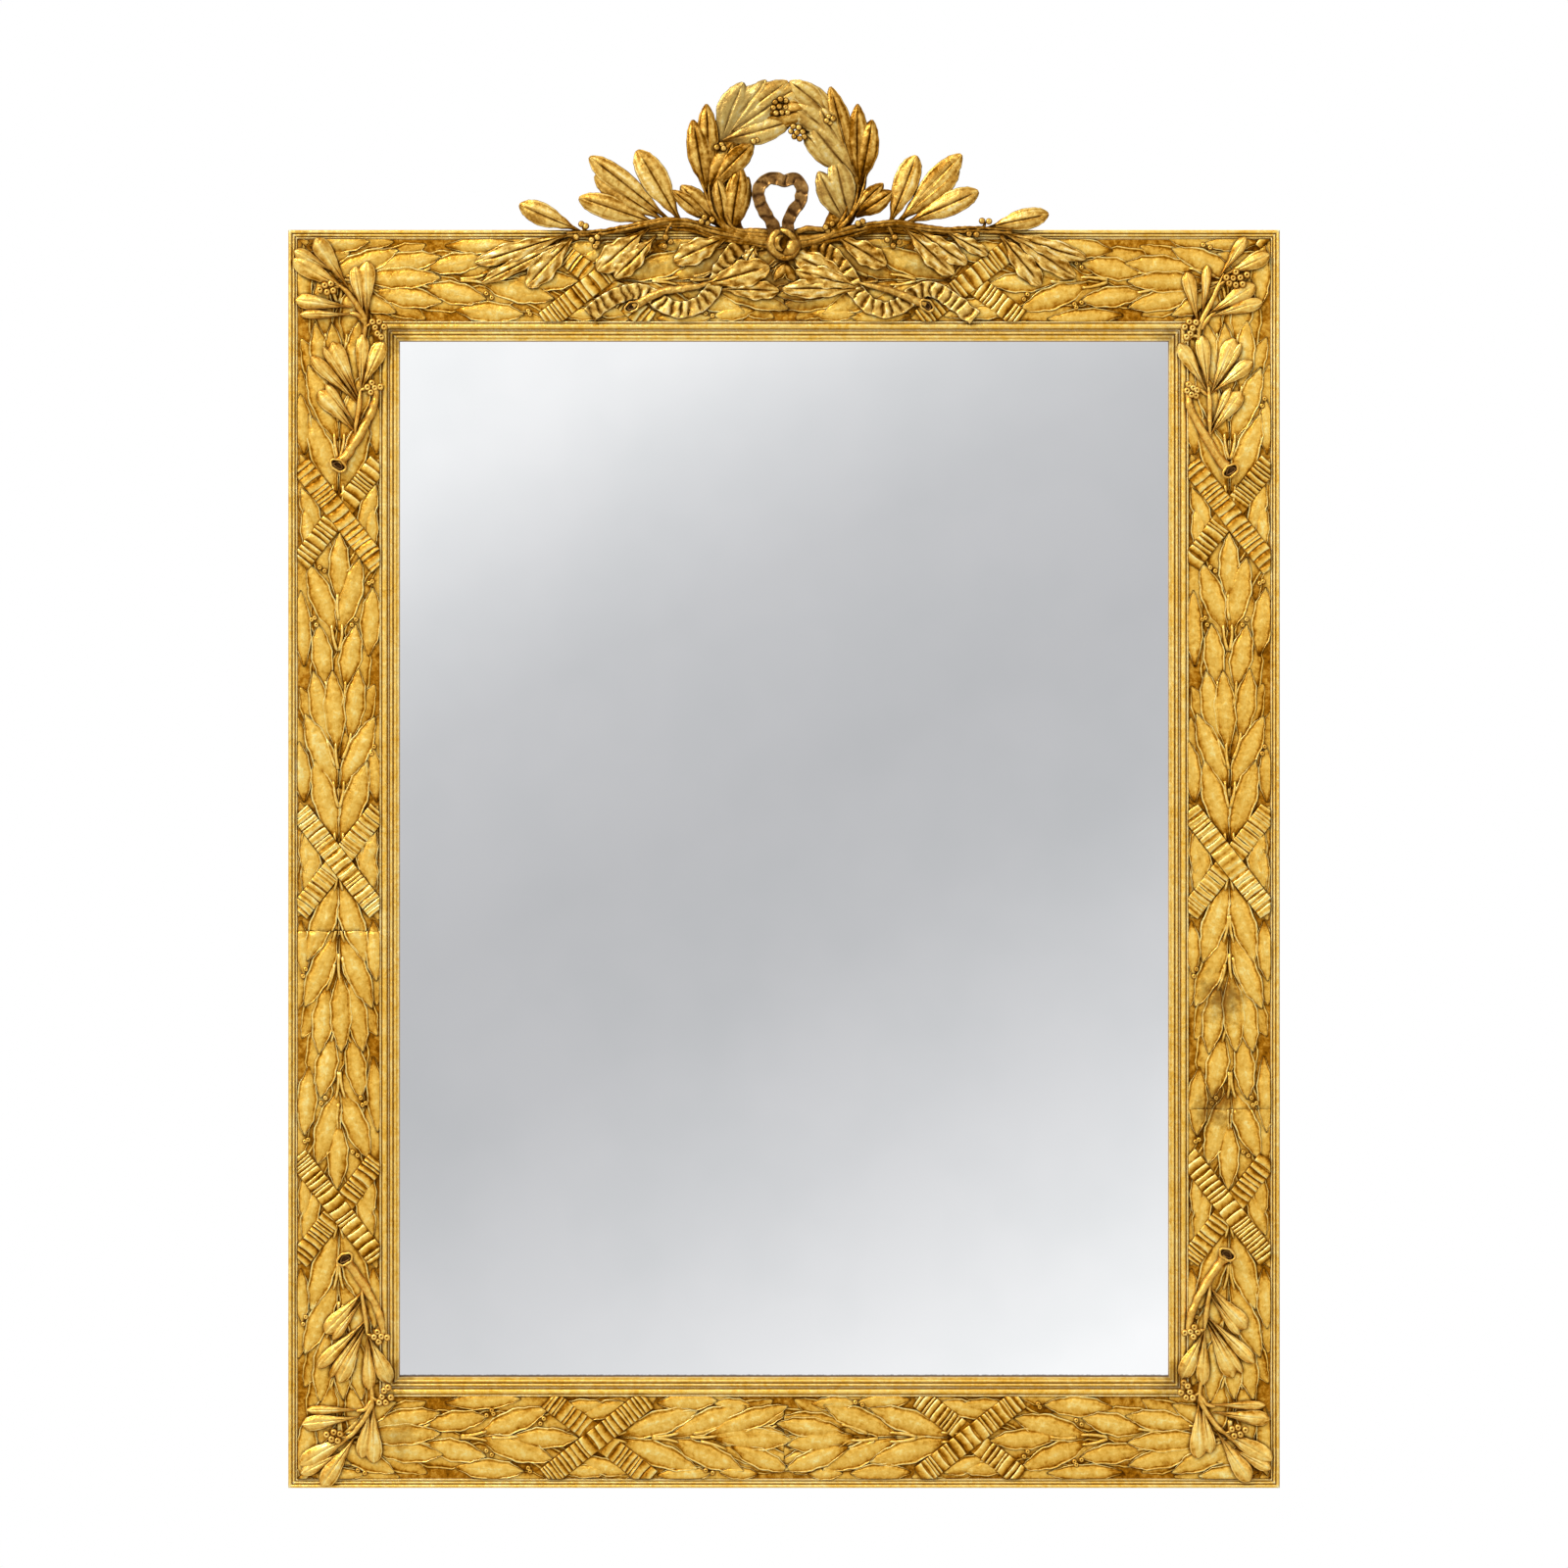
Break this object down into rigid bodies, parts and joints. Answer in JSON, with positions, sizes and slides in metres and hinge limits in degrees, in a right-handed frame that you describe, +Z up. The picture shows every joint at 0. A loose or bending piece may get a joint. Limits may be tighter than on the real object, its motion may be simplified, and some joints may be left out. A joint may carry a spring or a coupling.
{
  "type": "wall mirror",
  "caption": "Rectangular gilded wall mirror with reeded mouldings, laurel garland friezes, corner sprays and a pierced laurel wreath crest with ribbons.",
  "frame": {"origin": "centre of the frame's back plane, on the centre back board", "axes": "+Z up along the height, +X to the viewer's right, -Y towards the viewer, +Y into the wall"},
  "size_m": [1.012, 0.045, 1.4384],
  "materials": {
    "gilding": "worn gold leaf over composition, toned brown in the hollows",
    "carcass_wood": "bare aged softwood, gilded edge",
    "back_wood": "bare aged pine boards",
    "peg_wood": "beech end grain",
    "block_wood": "bare softwood",
    "mirror_plate": "silvered plate glass",
    "bracket_iron": "blackened wrought strip",
    "screw_steel": "dull steel",
    "hanger_brass": "tarnished brass"
  },
  "bodies": {
    "frame": {"back_board_centre": "back_wood", "back_board_left": "back_wood", "back_board_right": "back_wood", "back_board_screws": "screw_steel", "corner_pegs": "peg_wood", "crest_bracket_left": "bracket_iron", "crest_bracket_right": "bracket_iron", "crest_bracket_screws": "screw_steel", "crest_branch_left": "gilding", "crest_branch_right": "gilding", "crest_knot": "gilding", "crest_ribbon_loop": "gilding", "crest_sprig_left": "gilding", "crest_sprig_right": "gilding", "crest_wreath_left": "gilding", "crest_wreath_right": "gilding", "frieze_bottom_left": "gilding", "frieze_bottom_right": "gilding", "frieze_left_lower": "gilding", "frieze_left_upper": "gilding", "frieze_right_lower": "gilding", "frieze_right_upper": "gilding", "frieze_top_left": "gilding", "frieze_top_right": "gilding", "glazing_blocks": "block_wood", "hanger_screws_left": "screw_steel", "hanger_screws_right": "screw_steel", "hanger_strap_left": "hanger_brass", "hanger_strap_right": "hanger_brass", "mirror_glass": "mirror_plate", "outer_moulding_bottom": "gilding", "outer_moulding_left": "gilding", "outer_moulding_right": "gilding", "outer_moulding_top": "gilding", "rail_bottom": "carcass_wood", "rail_top": "carcass_wood", "ribbon_tail_left": "gilding", "ribbon_tail_right": "gilding", "sight_moulding_bottom": "gilding", "sight_moulding_left": "gilding", "sight_moulding_right": "gilding", "sight_moulding_top": "gilding", "spray_bottom_left": "gilding", "spray_bottom_right": "gilding", "spray_top_left": "gilding", "spray_top_right": "gilding", "stile_left": "carcass_wood", "stile_right": "carcass_wood"},
    "ring_left": {"hanger_ring_left": "hanger_brass"},
    "ring_right": {"hanger_ring_right": "hanger_brass"}
  },
  "joints": [
    {"name": "ring_left_hinge", "type": "hinge", "parent": "frame", "child": "ring_left", "pos_m": [-0.462, -0.00415, 0.4], "axis": [1, 0, 0], "range_deg": [0, 175]},
    {"name": "ring_right_hinge", "type": "hinge", "parent": "frame", "child": "ring_right", "pos_m": [0.462, -0.00415, 0.4], "axis": [1, 0, 0], "range_deg": [0, 175]}
  ]
}
